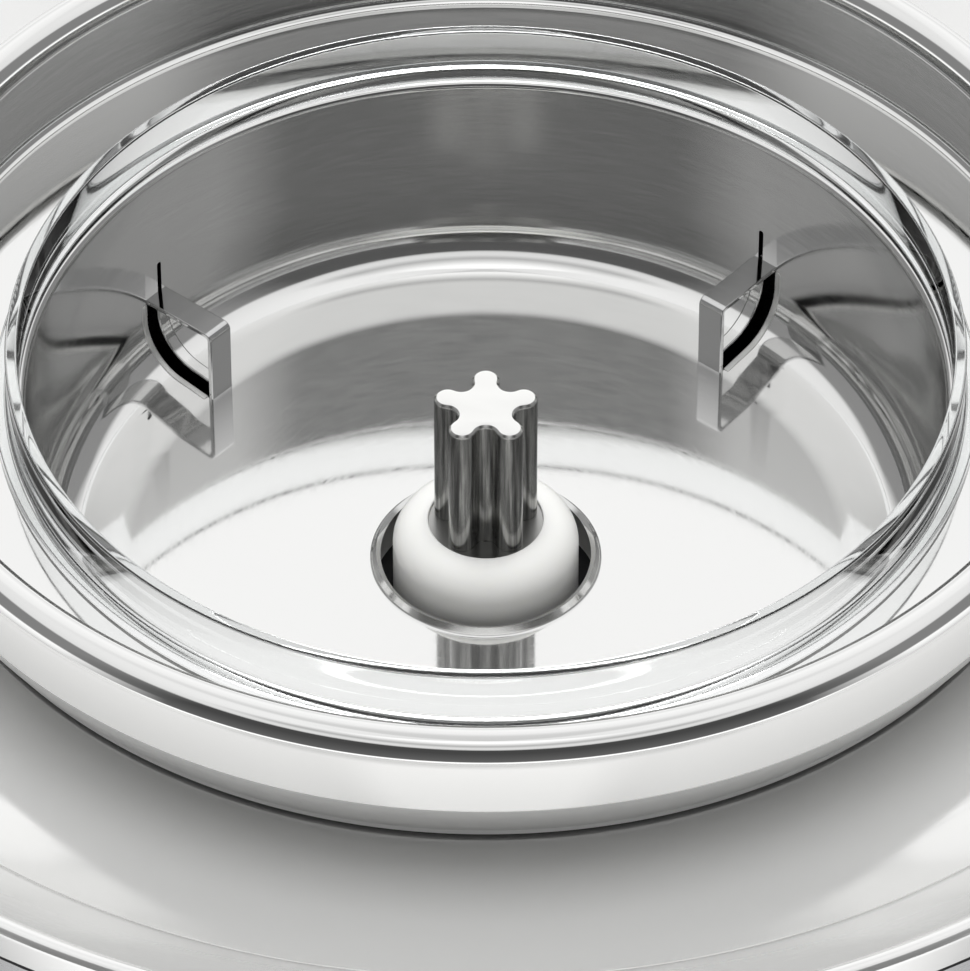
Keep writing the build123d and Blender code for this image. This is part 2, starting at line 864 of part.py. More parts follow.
def motor_fan():
    hub = rod(fan_hub_radius, fan_low, fan_high)
    blade = Pos(fan_hub_radius / 2, 0, fan_low) * Box(
        fan_radius - fan_hub_radius / 2,
        fan_blade_thickness,
        fan_height,
        align=(Align.MIN, Align.CENTER, Align.MIN),
    )
    for i in range(fan_blades):
        hub = hub + Rot(0, 0, 360.0 * i / fan_blades) * blade
    return Pos(motor_x, motor_y) * (hub - rod(motor_shaft_radius + seat_gap, fan_low, fan_high))


def motor_bolts():
    places = motor_bolt_places()
    return group(screw(motor_bottom, cup_floor, x, y, motor_bolt_radius, motor_bolt_head) for x, y in places)


# Control panel


def pod_block(width, height, middle, inset, proud):
    """Rounded block from the spindle axis out to a flat face in front of the drum."""
    corner = max(pod_corner - inset, pod_edge_bend)
    outline = Pos(0, middle) * RectangleRounded(width - 2 * inset, height - 2 * inset, corner)
    return extrude(Plane.XZ * outline, drum_radius + proud)


def pod_shell(width, height, middle):
    block = pod_block(width, height, middle, 0, pod_proud)
    block = fillet(block.faces().sort_by(Axis.Y)[0].edges(), pod_edge_bend)
    block = block - pod_block(width, height, middle, pod_wall, pod_proud - pod_wall)
    return block - rod(drum_radius + seat_gap, middle - height, middle + height)


def along_front(radius, near, far, x, z):
    """Round bar along Y at the front, between two distances in front of the spindle axis."""
    return Pos(x, -near, z) * Rot(90, 0, 0) * Cylinder(radius, far - near, align=UPWARD)


panel_face = drum_radius + pod_proud
panel_back = panel_face - pod_wall
timer_shaft_far = panel_face + knob_height - knob_skirt
socket_floor = panel_face - socket_depth


def control_panel():
    panel = pod_shell(panel_width, panel_height, panel_middle)
    panel = panel - along_front(timer_shaft_radius + slip_gap, panel_back, panel_face, 0, panel_middle)
    panel = panel - along_front(lamp_radius + seat_gap, panel_back, panel_face, switch_offset, panel_middle)
    return panel - extrude(switch_face(0), panel_face)


def timer_body():
    box = Pos(0, panel_middle) * RectangleRounded(timer_width, timer_height, pod_edge_bend)
    body = extrude(Plane.XZ * box, panel_back) - extrude(Plane.XZ * box, panel_back - timer_depth)
    near = panel_back - timer_shaft_depth - slip_gap
    return body - along_front(timer_shaft_radius + running_gap, near, panel_back, 0, panel_middle)


def timer_shaft():
    near = panel_back - timer_shaft_depth
    return along_front(timer_shaft_radius, near, timer_shaft_far, 0, panel_middle)


def timer_knob():
    near = panel_face + slip_gap
    far = near + knob_height
    skirt = along_front(knob_radius, near, near + knob_skirt, 0, panel_middle)
    grip = along_front(knob_grip_radius, near, far, 0, panel_middle)
    grip = fillet(grip.faces().sort_by(Axis.Y)[0].edges(), knob_bend)
    knob = skirt + grip
    for x, z in around(knob_flutes, knob_grip_radius + knob_flute_radius / 2):
        knob = knob - along_front(knob_flute_radius, near + knob_skirt, far, x, panel_middle + z)
    pointer_length = knob_grip_radius - 2 * knob_bend
    mark = Plane.XZ * Pos(0, panel_middle + knob_grip_radius / 2) * Rectangle(pointer_width, pointer_length)
    knob = knob - (extrude(mark, far) - extrude(mark, far - pointer_depth))
    return knob - along_front(timer_shaft_radius + seat_gap, near, timer_shaft_far, 0, panel_middle)


def switch_body():
    outer = switch_face(seat_gap)
    back = panel_face - switch_depth
    frame = extrude(outer, panel_face) - extrude(switch_face(switch_wall), panel_face)
    body = frame + extrude(outer, back + switch_wall) - extrude(outer, back)
    return body + rocker_pivot(rocker_pivot_radius, switch_width - 2 * switch_wall)


def switch_face(inset):
    face = Rectangle(switch_width - 2 * inset, switch_height - 2 * inset)
    return Plane.XZ * Pos(-switch_offset, panel_middle) * face


def rocker_pivot(radius, length):
    place = Pos(-switch_offset, -(panel_face - rocker_pivot_depth), panel_middle)
    return place * Rot(0, 90, 0) * Cylinder(radius, length)


def power_rocker():
    """Rocker with two flat faces that meet at a shallow angle, tipped to its off side."""
    upper = (rocker_half_height, rocker_reach)
    lower = (-rocker_half_height, rocker_reach)
    middle = (0, rocker_reach - rocker_dip)
    outline = make_face(Polyline((0, -rocker_hub_radius), upper, middle, lower, close=True))
    hub = Circle(rocker_hub_radius)
    width = switch_width - 2 * switch_wall - 2 * slip_gap
    solid = extrude(outline + hub, width / 2, both=True) - Cylinder(rocker_pivot_radius + running_gap, width)
    turned = Rot(0, 90, 0) * Rot(0, 0, 180 + rocker_tilt) * solid
    return Pos(-switch_offset, -(panel_face - rocker_pivot_depth), panel_middle) * turned


def pilot_lamp():
    back = panel_face - lamp_depth
    far = panel_face + lamp_rim
    barrel = along_front(lamp_radius, back, panel_face, switch_offset, panel_middle)
    rim = along_front(lamp_radius + lamp_rim, panel_face, far, switch_offset, panel_middle)
    rim = fillet(rim.faces().sort_by(Axis.Y)[0].edges(), lamp_rim_bend)
    return barrel + rim


# Mains inlet and inner electrical pieces


def socket_outline(grow):
    corner = socket_corner + grow * tan(radians(22.5))
    return Pos(0, inlet_middle) * chamfer(
        Rectangle(socket_width + 2 * grow, socket_height + 2 * grow).vertices().group_by(Axis.Y)[-1], corner
    )


def inlet_housing():
    outer = Plane.XZ * socket_outline(socket_wall)
    sleeve = extrude(outer, panel_face - socket_lip_drop)
    opened = pod_shell(inlet_width, inlet_height, inlet_middle) + sleeve
    opened = opened - extrude(Plane.XZ * socket_outline(0), panel_face)
    body = opened + extrude(outer, socket_floor) - extrude(outer, socket_floor - socket_wall)
    return Rot(0, 0, 180) * (body - pin_blades(seat_gap))


def pin_blades(grow):
    places = [(-pin_pitch, -pin_step / 2), (0, pin_step / 2), (pin_pitch, -pin_step / 2)]
    blades = []
    for x, z in places:
        face = Pos(x, inlet_middle + z) * Rectangle(pin_thickness + 2 * grow, pin_width + 2 * grow)
        long = extrude(Plane.XZ * face, socket_floor + pin_length)
        blades.append(long - extrude(Plane.XZ * face, socket_floor - socket_wall - pin_tail))
    return blades


def inlet_pins():
    return group(Rot(0, 0, 180) * blade for blade in pin_blades(0))


def motor_capacitor():
    x, y = capacitor_place
    can = rod(capacitor_radius, base_top, base_top + capacitor_height, x, y)
    return fillet(can.faces().sort_by(Axis.Z)[-1].edges(), pod_edge_bend)


def terminal_block():
    length, depth, height = terminal_size
    x, y = terminal_place
    block = Pos(x, y, base_top) * Box(length, depth, height, align=UPWARD)
    for i in range(1, terminal_ways):
        cut = Box(terminal_slot_width, depth, 2 * terminal_slot_depth)
        block = block - Pos(x - length / 2 + i * length / terminal_ways, y, base_top + height) * cut
    return block


def mains_loom():
    """Mains lead inside the drum, from the inlet round the gearbox to the terminal block."""
    x, y = terminal_place
    end = x + terminal_size[0] / 2
    start = socket_floor - socket_wall - pin_tail - slip_gap
    low = base_top + 2 * loom_radius
    route = FilletPolyline(
        (0, start, inlet_middle),
        (0, start - loom_run, inlet_middle),
        (loom_side, loom_back, low),
        (loom_side, loom_front, low),
        (x + loom_turn, y, low),
        (end, y, low),
        radius=loom_bend,
    )
    return sweep(Plane(route @ 0, z_dir=route % 0) * Circle(loom_radius), path=route)


shapes = {
    "well_bowl": well_bowl(),
    "clear_ring": clear_ring(),
    "collar": collar(),
    "collar_gasket": collar_gasket(),
    "collar_nuts": collar_nuts(),
    "bowl_spacer": bowl_spacer(),
    "top_deck": top_deck(),
    "deck_gasket": deck_gasket(),
    "drum_housing": drum_housing(),
    "base_plate": base_plate(),
    "foot_screws": foot_screws(),
    "tie_rods": tie_rods(),
    "tie_nuts": tie_nuts(),
    "spindle": spindle(),
    "drive_pin": drive_pin(),
    "spindle_circlip": spindle_circlip(),
    "spindle_boss": spindle_boss(),
    "boss_screws": boss_screws(),
    "wear_washer": wear_washer(),
    "shaft_seal": shaft_seal(),
    "upper_bush": upper_bush(),
    "lower_bush": lower_bush(),
    "drip_seal": drip_seal(),
    "gearbox_cup": gearbox_cup(),
    "gearbox_cover": gearbox_cover_plate(),
    "cover_screws": cover_screws(),
    "gearbox_isolators": isolators(),
    "gearbox_screws": gearbox_screws(),
    "output_gear": output_gear(),
    "compound_gear": compound_gear(),
    "gear_axle": gear_axle(),
    "motor_stator": motor_stator(),
    "motor_windings": motor_windings(),
    "motor_top_bell": motor_top_bell(),
    "motor_bottom_bell": motor_bottom_bell(),
    "motor_upper_bush": motor_bush(bell_low + rotor_end_gap, cup_bottom),
    "motor_lower_bush": motor_bush(motor_bottom, stator_low - rotor_end_gap),
    "rotor": rotor(),
    "motor_pinion": motor_pinion(),
    "motor_fan": motor_fan(),
    "motor_bolts": motor_bolts(),
    "control_panel": control_panel(),
    "timer_body": timer_body(),
    "timer_shaft": timer_shaft(),
    "timer_knob": timer_knob(),
    "switch_body": switch_body(),
    "power_rocker": power_rocker(),
    "pilot_lamp": pilot_lamp(),
    "inlet_housing": inlet_housing(),
    "inlet_pins": inlet_pins(),
    "motor_capacitor": motor_capacitor(),
    "terminal_block": terminal_block(),
    "mains_loom": mains_loom(),
}
for name, (x, y) in zip(("back_right", "back_left", "front_left", "front_right"), foot_places()):
    shapes["foot_" + name] = foot(x, y)

# The knob stands further out than the inlet, so all is moved back to centre the whole on the origin
knob_face = panel_face + slip_gap + knob_height
centring = Pos(0, (knob_face - panel_face) / 2, 0)

os.makedirs("parts", exist_ok=True)
for name, shape in shapes.items():
    export_step(centring * shape, "parts/" + name + ".step")
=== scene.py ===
"""Looks of the ice cream maker base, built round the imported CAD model, in metres."""

import json
from math import acos, asin, atan2, cos, degrees, hypot, pi, radians, sin, tan, tau

import bpy
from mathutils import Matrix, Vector


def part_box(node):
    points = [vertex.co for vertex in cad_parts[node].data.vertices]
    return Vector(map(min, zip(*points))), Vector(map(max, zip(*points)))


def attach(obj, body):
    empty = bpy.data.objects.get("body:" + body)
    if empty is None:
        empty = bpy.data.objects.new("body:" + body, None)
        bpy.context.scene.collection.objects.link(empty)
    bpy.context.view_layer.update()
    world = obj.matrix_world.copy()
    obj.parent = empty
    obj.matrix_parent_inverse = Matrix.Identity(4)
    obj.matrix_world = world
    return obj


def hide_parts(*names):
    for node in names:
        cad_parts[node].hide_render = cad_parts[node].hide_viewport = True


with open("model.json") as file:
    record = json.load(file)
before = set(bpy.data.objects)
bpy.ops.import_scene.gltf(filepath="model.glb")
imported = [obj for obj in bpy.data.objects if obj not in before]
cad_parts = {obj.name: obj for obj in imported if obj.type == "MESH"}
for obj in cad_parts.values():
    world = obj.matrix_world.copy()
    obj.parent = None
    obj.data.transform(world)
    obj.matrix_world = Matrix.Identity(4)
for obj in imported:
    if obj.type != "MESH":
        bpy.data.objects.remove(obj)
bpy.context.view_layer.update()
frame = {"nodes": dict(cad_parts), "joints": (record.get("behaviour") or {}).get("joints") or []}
nodes = frame["nodes"]

# Camera
# A long lens stands in front of the machine and looks down into the bowl seat, so that the seat fills
# the picture and only the deck's edge and a little of the drum are seen at the lower corners.
MM = 0.001
spindle_x, spindle_y, _ = next(j["pos_m"] for j in frame["joints"] if j["name"] == "spindle_turn")
ring_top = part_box("clear_ring")[1].z
camera_elevation = radians(43.69)
camera_distance = 1555 * MM
camera_aim = Vector((spindle_x - 0.15 * MM, spindle_y, ring_top - 39.2 * MM))
camera_offset = Vector((0, -cos(camera_elevation), sin(camera_elevation))) * camera_distance
bpy.ops.object.camera_add(location=camera_aim + camera_offset, rotation=(pi / 2 - camera_elevation, 0, 0))
camera = bpy.context.object
camera.data.sensor_fit = "HORIZONTAL"
camera.data.sensor_width = 36
camera.data.lens = 296.9
bpy.context.scene.camera = camera
bpy.context.scene.view_settings.view_transform = "Standard"

# Studio
# The machine stands on pale paper. Polished steel shows the room: dark in front up to the camera's height, a dark
# band at the sides, light above and behind. A lamp overhead lights what is painted or moulded.


def linear(hex_colour):
    """Linear RGBA from an sRGB hex value such as '#d8d8d6'."""
    parts = [int(hex_colour[i:i + 2], 16) / 255 for i in (1, 3, 5)]
    return [p / 12.92 if p <= 0.04045 else ((p + 0.055) / 1.055) ** 2.4 for p in parts] + [1.0]


def add_node(tree, kind, settings=None, **links):
    """Adds a node, sets its properties or input values by name, and links sockets into its inputs."""
    node = tree.nodes.new(kind)
    for name, value in (settings or {}).items():
        if hasattr(node, name):
            setattr(node, name, value)
        else:
            node.inputs[int(name) if name.isdigit() else name].default_value = value
    for name, socket in links.items():
        key = name.replace("_", " ")
        tree.links.new(socket, node.inputs[int(name[1:]) if name[1:].isdigit() else key])
    return node


world = bpy.data.worlds.new("studio")
world.use_nodes = True
bpy.context.scene.world = world
sky = world.node_tree
sky.nodes.clear()
way = add_node(sky, "ShaderNodeTexCoord")
split = add_node(sky, "ShaderNodeSeparateXYZ", Vector=way.outputs["Generated"])
forward = add_node(sky, "ShaderNodeMath", {"operation": "MULTIPLY", "1": -1.0}, _0=split.outputs["Y"])
aside = add_node(sky, "ShaderNodeMath", {"operation": "ARCTAN2"}, _0=split.outputs["X"],
                 _1=forward.outputs["Value"])
spread = add_node(sky, "ShaderNodeMath", {"operation": "ABSOLUTE"}, _0=aside.outputs["Value"])
height = add_node(sky, "ShaderNodeMath", {"operation": "ARCSINE"}, _0=split.outputs["Z"])
share = add_node(sky, "ShaderNodeMapRange", {"From Min": -pi / 2, "From Max": pi / 2},
                 Value=height.outputs["Value"])
brightest = 2.0
# Brightness by angle above the horizon, in front, at the sides and behind
front = [(-14, 1.4), (-11, 0.14), (30, 0.07), (45, 0.07), (49, 0.8), (56, 0.85), (64, 0.5), (80, 1.2)]
sides = [(-20, 0.6), (-8, 0.95), (6, 1.2), (11, 0.25), (43, 0.25), (47, 0.85), (76, 1.0), (85, 0.9)]
back = [(-10, 0.9), (3, 1.1), (12, 0.9), (28, 1.1), (52, 1.0), (66, 0.75), (85, 0.7)]
level = None
for stops, start, end in ((front, 0, 0), (sides, 50, 70), (back, 140, 160)):
    ramp = add_node(sky, "ShaderNodeValToRGB", Fac=share.outputs["Result"])
    for _ in stops[2:]:
        ramp.color_ramp.elements.new(0.5)
    for element, (angle, brightness) in zip(ramp.color_ramp.elements, stops):
        element.position = angle / 180 + 0.5
        element.color = [brightness / brightest] * 3 + [1.0]
    if level is None:
        level = ramp.outputs["Color"]
        continue
    turned = add_node(sky, "ShaderNodeMapRange", {"From Min": radians(start), "From Max": radians(end)},
                      Value=spread.outputs["Value"])
    level = add_node(sky, "ShaderNodeMix", {"data_type": "RGBA"}, _0=turned.outputs["Result"], _6=level,
                     _7=ramp.outputs["Color"]).outputs[2]
light_path = add_node(sky, "ShaderNodeLightPath")
studio_light = add_node(sky, "ShaderNodeBackground", {"Strength": brightest}, Color=level)
white_backdrop = add_node(sky, "ShaderNodeBackground", {"Strength": 1.0})
shown = add_node(sky, "ShaderNodeMixShader", _0=light_path.outputs["Is Camera Ray"],
                 _1=studio_light.outputs["Background"], _2=white_backdrop.outputs["Background"])
add_node(sky, "ShaderNodeOutputWorld", Surface=shown.outputs["Shader"])

floor_size = 6.0
bpy.ops.object.select_all(action="DESELECT")
bpy.ops.mesh.primitive_plane_add(size=floor_size, location=(0, 0, -0.2 * MM))
floor = bpy.context.object
floor.name = "floor"
bpy.ops.object.transform_apply(location=True)
paper = bpy.data.materials.new("white_paper_sweep")
paper.use_nodes = True
paper.node_tree.nodes["Principled BSDF"].inputs["Base Color"].default_value = linear("#cfcfcd")
paper.node_tree.nodes["Principled BSDF"].inputs["Roughness"].default_value = 0.9
floor.visible_glossy = False
floor.data.materials.append(paper)
bpy.ops.object.light_add(type="AREA", location=(0, 0.3, 2.1))
lamp = bpy.context.object
lamp.name = "overhead_lamp"
lamp.data.energy = 33
lamp.data.size = 1.2
lamp.visible_glossy = False

# Feet, base plate and inner works
# Moulded rubber feet and a black moulded base carry the drum. The gearbox and motor inside are castings, plastic
# gears and bronze bushes, nearly all hidden. The gearbox cover, under the gap round the boss, is painted white as
# painted light.


def new_material(name, **surface):
    """A material with a Principled shader, whose inputs are given by name, and its tree and shader."""
    material = bpy.data.materials.new(name)
    material.use_nodes = True
    tree = material.node_tree
    shader = tree.nodes["Principled BSDF"]
    for key, value in surface.items():
        shader.inputs[key.replace("_", " ")].default_value = value
    return material, tree, shader


def grain(tree, shader, size, depth, roughness):
    """Fine moulded or cast grain: a noise of the given size in metres, as bump and as roughness change."""
    place = add_node(tree, "ShaderNodeTexCoord")
    noise = add_node(tree, "ShaderNodeTexNoise", {"Scale": 1 / size, "Detail": 3.0},
                     Vector=place.outputs["Object"])
    bump = add_node(tree, "ShaderNodeBump", {"Strength": 0.4, "Distance": depth}, Height=noise.outputs["Fac"])
    tree.links.new(bump.outputs["Normal"], shader.inputs["Normal"])
    uneven = add_node(tree, "ShaderNodeMapRange", {"To Min": roughness * 0.8, "To Max": roughness * 1.2},
                      Value=noise.outputs["Fac"])
    tree.links.new(uneven.outputs["Result"], shader.inputs["Roughness"])
    return noise


def dress(material, *names):
    """Gives a material to CAD nodes that are shown as they are."""
    for name in names:
        nodes[name].data.materials.clear()
        nodes[name].data.materials.append(material)


rubber, tree, shader = new_material("moulded_black_rubber", Base_Color=linear("#1b1b1c"))
grain(tree, shader, 1.5 * MM, 0.05 * MM, 0.75)
dress(rubber, "foot_back_left", "foot_back_right", "foot_front_left", "foot_front_right", "collar_gasket",
      "deck_gasket", "shaft_seal", "drip_seal", "gearbox_isolators", "mains_loom")
black_abs, tree, shader = new_material("moulded_black_abs", Base_Color=linear("#222224"))
grain(tree, shader, 0.8 * MM, 0.03 * MM, 0.5)
dress(black_abs, "base_plate", "bowl_spacer", "motor_fan", "timer_body", "motor_capacitor")
zinc, tree, shader = new_material("bright_zinc_plate", Base_Color=linear("#c9cbcd"), Metallic=1.0)
grain(tree, shader, 0.6 * MM, 0.01 * MM, 0.3)
dress(zinc, "foot_screws", "tie_rods", "tie_nuts", "collar_nuts", "boss_screws", "cover_screws",
      "gearbox_screws", "motor_bolts", "gear_axle", "drive_pin", "spindle_circlip", "timer_shaft")
casting, tree, shader = new_material("die_cast_alloy", Base_Color=linear("#a9aaab"), Metallic=1.0)
grain(tree, shader, 1.2 * MM, 0.05 * MM, 0.45)
dress(casting, "gearbox_cup", "motor_top_bell", "motor_bottom_bell")
# Painted light: the gearbox cover is painted white so that the gap round the boss shows light.
cover_painted_light, tree, shader = new_material("casting_painted_white_for_light_in_gap", Base_Color=linear("#f0f0ee"))
grain(tree, shader, 1.2 * MM, 0.03 * MM, 0.4)
dress(cover_painted_light, "gearbox_cover")
laminations, tree, shader = new_material("varnished_laminations", Base_Color=linear("#6d6d70"), Metallic=1.0)
grain(tree, shader, 0.5 * MM, 0.05 * MM, 0.4)
dress(laminations, "motor_stator", "rotor")
bronze, tree, shader = new_material("sintered_bronze", Base_Color=linear("#a5834c"), Metallic=1.0)
grain(tree, shader, 0.4 * MM, 0.02 * MM, 0.4)
dress(bronze, "upper_bush", "lower_bush", "motor_upper_bush", "motor_lower_bush", "motor_pinion",
      "inlet_pins")
copper, tree, shader = new_material("enamelled_copper_wire", Base_Color=linear("#a0562c"), Metallic=1.0)
grain(tree, shader, 0.6 * MM, 0.1 * MM, 0.35)
dress(copper, "motor_windings")
acetal, tree, shader = new_material("white_acetal", Base_Color=linear("#f4f4f1"), IOR=1.48)
shader.inputs["Subsurface Weight"].default_value = 0.3
shader.inputs["Subsurface Radius"].default_value = (2 * MM, 2 * MM, 1.8 * MM)
shader.inputs["Subsurface Scale"].default_value = 1.0
grain(tree, shader, 1.0 * MM, 0.01 * MM, 0.32)
dress(acetal, "output_gear", "compound_gear", "terminal_block")

# Drum
# A rolled and welded tube of stainless sheet between the base plate and the deck, brushed round and round, with
# vent slots at the back and openings behind the control panel and the mains inlet.
smooth_angle = radians(35)
merge_distance = 0.001 * MM


def arc(centre, radius, start, end, steps=12):
    """Points along a bend, from one angle in degrees to another."""
    turns = [radians(start + (end - start) * i / steps) for i in range(steps + 1)]
    return [(centre[0] + radius * cos(t), centre[1] + radius * sin(t)) for t in turns]


def draw_outline(name, outline, closed=True):
    """A new object at the spindle axis, in edit mode, that holds an outline of (radius, height) points."""
    bpy.ops.object.select_all(action="DESELECT")
    bpy.ops.mesh.primitive_plane_add(size=MM, location=(spindle_x, spindle_y, 0))
    piece = bpy.context.object
    piece.name = name
    bpy.ops.object.mode_set(mode="EDIT")
    bpy.ops.mesh.select_all(action="SELECT")
    bpy.ops.mesh.merge(type="CENTER")
    bpy.ops.transform.translate(value=(outline[0][0], 0, outline[0][1]))
    path = outline + [outline[0]] if closed else outline
    for (r0, z0), (r1, z1) in zip(path, path[1:]):
        bpy.ops.mesh.extrude_region_move(TRANSFORM_OT_translate={"value": (r1 - r0, 0, z1 - z0)})
    bpy.ops.mesh.select_all(action="SELECT")
    bpy.ops.mesh.remove_doubles(threshold=merge_distance)
    return piece


def close_mesh(piece, turn=0.0):
    """Merges doubles, points faces outwards, leaves edit mode, turns the piece round the spindle and smooths it."""
    bpy.ops.mesh.select_all(action="SELECT")
    bpy.ops.mesh.remove_doubles(threshold=merge_distance)
    bpy.ops.mesh.normals_make_consistent(inside=False)
    bpy.ops.object.mode_set(mode="OBJECT")
    piece.rotation_euler.z = turn
    bpy.ops.object.transform_apply(location=True, rotation=True, scale=True)
    bpy.ops.object.shade_smooth_by_angle(angle=smooth_angle)
    return piece


def spin_piece(name, outline, steps=320, closed=True):
    """Spins an outline round the spindle, as on a lathe."""
    piece = draw_outline(name, outline, closed)
    bpy.ops.mesh.select_all(action="SELECT")
    bpy.ops.mesh.spin(steps=steps, angle=tau, center=(spindle_x, spindle_y, 0), axis=(0, 0, 1))
    return close_mesh(piece)


def bar_piece(name, outline, width, turn=0.0, aside=0.0):
    """A bar of the given width whose side is the outline, across a spoke at an angle from the right."""
    piece = draw_outline(name, outline)
    bpy.ops.mesh.edge_face_add()
    bpy.ops.transform.translate(value=(0, aside - width / 2, 0))
    bpy.ops.mesh.extrude_region_move(TRANSFORM_OT_translate={"value": (0, width, 0)})
    return close_mesh(piece, turn)


def spoke_piece(name, outline, near, far, turn=0.0):
    """A bar along a spoke between two radii, whose end is an outline of (sideways, height) points."""
    piece = draw_outline(name, outline)
    bpy.ops.mesh.edge_face_add()
    bpy.ops.transform.translate(value=(0, -near, 0))
    bpy.ops.mesh.extrude_region_move(TRANSFORM_OT_translate={"value": (0, near - far, 0)})
    return close_mesh(piece, turn + pi / 2)


def cut_out(piece, cutter):
    """Cuts one piece out of another, throws the cutter away and keeps the new edges sharp."""
    bpy.ops.object.select_all(action="DESELECT")
    bpy.context.view_layer.objects.active = piece
    piece.select_set(True)
    cut = piece.modifiers.new("cut", "BOOLEAN")
    cut.operation = "DIFFERENCE"
    cut.solver = "EXACT"
    cut.object = cutter
    bpy.ops.object.modifier_apply(modifier=cut.name)
    bpy.ops.object.shade_smooth_by_angle(angle=smooth_angle)
    bpy.data.objects.remove(cutter)


def place_piece(piece, body, slot, material, *replaced):
    """Finishes a piece: its material, the body it rides on and the CAD nodes it stands for; the slot argument is not
    used.
    """
    piece.data.materials.clear()
    piece.data.materials.append(material)
    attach(piece, body)
    if replaced:
        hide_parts(*replaced)


def lathe_lines(tree, spacing, length):
    """Noise drawn out round the spindle: fine across and long round, as polishing on a lathe leaves it."""
    place = add_node(tree, "ShaderNodeTexCoord")
    centred = add_node(tree, "ShaderNodeVectorMath", {"operation": "SUBTRACT"}, _0=place.outputs["Object"])
    centred.inputs[1].default_value = (spindle_x, spindle_y, 0)
    parts = add_node(tree, "ShaderNodeSeparateXYZ", Vector=centred.outputs["Vector"])
    flat = add_node(tree, "ShaderNodeCombineXYZ", X=parts.outputs["X"], Y=parts.outputs["Y"])
    radius = add_node(tree, "ShaderNodeVectorMath", {"operation": "LENGTH"}, Vector=flat.outputs["Vector"])
    angle = add_node(tree, "ShaderNodeMath", {"operation": "ARCTAN2"}, _0=parts.outputs["Y"],
                     _1=parts.outputs["X"])
    short = add_node(tree, "ShaderNodeMath", {"operation": "MULTIPLY", "1": spacing * tau / length},
                     _0=angle.outputs["Value"])
    lathe = add_node(tree, "ShaderNodeCombineXYZ", X=radius.outputs["Value"], Y=short.outputs["Value"],
                     Z=parts.outputs["Z"])
    lines = add_node(tree, "ShaderNodeTexNoise", {"Scale": 1 / spacing, "Detail": 4.0, "Roughness": 0.6},
                     Vector=lathe.outputs["Vector"])
    return lines, parts, radius


# Brush marks 0.5 mm wide and about 2 mm long give the drum a soft sheen with a fine grain.
brushed, tree, shader = new_material("brushed_stainless_sheet", Base_Color=linear("#c4c4c5"), Metallic=1.0)
lines, _, _ = lathe_lines(tree, 0.5 * MM, 0.08)
bump = add_node(tree, "ShaderNodeBump", {"Strength": 0.6, "Distance": 0.02 * MM}, Height=lines.outputs["Fac"])
tree.links.new(bump.outputs["Normal"], shader.inputs["Normal"])
streaks = add_node(tree, "ShaderNodeMapRange",
                   {"From Min": 0.3, "From Max": 0.7, "To Min": 0.2, "To Max": 0.42}, Value=lines.outputs["Fac"])
tree.links.new(streaks.outputs["Result"], shader.inputs["Roughness"])

drum_low, drum_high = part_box("drum_housing")
drum_radius = (drum_high.x - drum_low.x) / 2
drum_sheet = 1.2 * MM
drum_inner = drum_radius - drum_sheet
drum_outline = [(drum_inner, drum_low.z), (drum_radius, drum_low.z), (drum_radius, drum_high.z),
                (drum_inner, drum_high.z)]
drum = spin_piece("drum_wall", drum_outline, 256)
vent_middle, vent_half, vent_end = 112 * MM, 15 * MM, 2 * MM
vent_outline = arc((0, vent_middle + vent_half), vent_end, 0, 180)
vent_outline += arc((0, vent_middle - vent_half), vent_end, 180, 360)
vent_count = 9
vent_step = 6
for i in range(vent_count):
    turn = radians(90 + (i - (vent_count - 1) / 2) * vent_step)
    cut_out(drum, spoke_piece("vent", vent_outline, 0.9 * drum_radius, 1.1 * drum_radius, turn))
for turn, half_width, half_height, middle in ((-pi / 2, 49.5, 19.5, 88), (pi / 2, 23.5, 11.5, 50)):
    low, high = (middle - half_height) * MM, (middle + half_height) * MM
    side = half_width * MM
    opening = [(-side, low), (side, low), (side, high), (-side, high)]
    cut_out(drum, spoke_piece("opening", opening, 0.8 * drum_radius, 1.1 * drum_radius, turn))
place_piece(drum, "base", "brushed_steel", brushed, "drum_housing")

# Dished deck
# Stainless sheet spun to a shallow dish with one groove near its edge, a rolled edge and a short skirt, then
# polished on the lathe, which leaves very fine rings.


def bend_line(corners, radii, steps=12):
    """A line through corners with each inner corner rounded to its bend radius."""
    line = [corners[0]]
    for i, radius in enumerate(radii):
        before, corner, after = (Vector(c) for c in corners[i:i + 3])
        inward = (before - corner).normalized()
        outward = (after - corner).normalized()
        half = inward.angle(outward) / 2
        centre = corner + (inward + outward).normalized() * radius / sin(half)
        start = corner + inward * radius / tan(half) - centre
        end = corner + outward * radius / tan(half) - centre
        first = atan2(start.y, start.x)
        swing = (atan2(end.y, end.x) - first + pi) % tau - pi
        line += arc(centre, radius, degrees(first), degrees(first + swing), steps)
    return line + [corners[-1]]


def sheet_outline(line, sheet):
    """A closed outline: the line itself and the same line moved sideways by the sheet's thickness."""
    points = [Vector(p) for p in line]
    moved = []
    for i, point in enumerate(points):
        along = (points[min(i + 1, len(points) - 1)] - points[max(i - 1, 0)]).normalized()
        moved.append(tuple(point + Vector((along.y, -along.x)) * sheet))
    return line + moved[::-1]


def polish(tree, shader, spacing, depth, low, high):
    """Lathe polishing: fine rings round the spindle, as a slight bump and a change of roughness."""
    lines, parts, radius = lathe_lines(tree, spacing, 0.6)
    bump = add_node(tree, "ShaderNodeBump", {"Strength": 0.5, "Distance": depth}, Height=lines.outputs["Fac"])
    tree.links.new(bump.outputs["Normal"], shader.inputs["Normal"])
    uneven = add_node(tree, "ShaderNodeMapRange",
                      {"From Min": 0.3, "From Max": 0.7, "To Min": low, "To Max": high}, Value=lines.outputs["Fac"])
    tree.links.new(uneven.outputs["Result"], shader.inputs["Roughness"])
    return uneven, parts


steel_white = linear("#efefee")
# Polishing rings 0.8 mm apart over bright sheet: a hazy mirror, lighter than bare polished steel.
polished, tree, shader = new_material("lathe_polished_stainless_sheet", Base_Color=steel_white, Metallic=0.72)
polish(tree, shader, 0.8 * MM, 0.0005 * MM, 0.05, 0.1)

